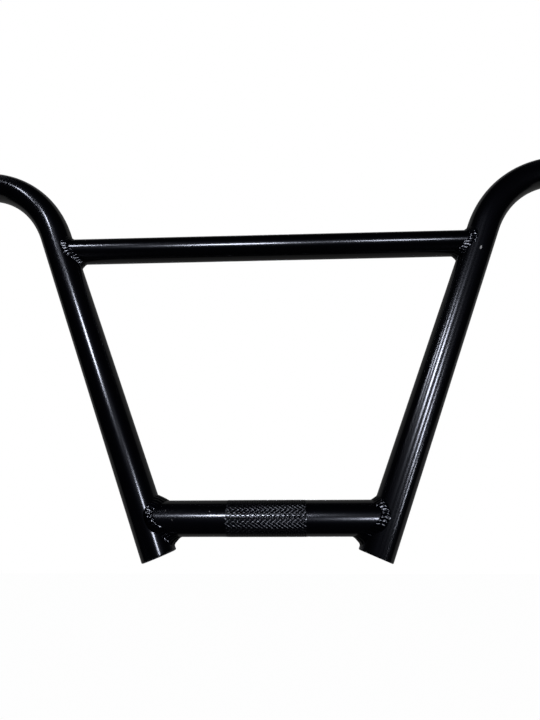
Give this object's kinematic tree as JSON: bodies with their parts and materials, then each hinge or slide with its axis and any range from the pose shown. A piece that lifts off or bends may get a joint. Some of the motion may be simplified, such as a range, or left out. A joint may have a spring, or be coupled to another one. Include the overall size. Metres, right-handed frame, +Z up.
{
  "type": "bmx handlebar",
  "caption": "Welded steel bicycle handlebar with splayed legs that bend out to swept-back grips, a crossbar and a knurled clamp tube for a stem, in gloss black paint.",
  "frame": {"origin": "middle of the clamp tube, on its axis", "axes": "+X along the clamp tube to the bar's right end as seen from its front, +Y back towards the rider, the way the grips sweep, +Z up the rise in the plane of the legs"},
  "size_m": [0.7532, 0.0599, 0.3046],
  "materials": {
    "gloss_black_paint": "gloss"
  },
  "bodies": {
    "root": {"right_side_tube": "gloss_black_paint", "left_side_tube": "gloss_black_paint", "crossbar": "gloss_black_paint", "clamp_tube": "gloss_black_paint", "crossbar_welds": "gloss_black_paint", "clamp_welds": "gloss_black_paint"}
  },
  "joints": []
}
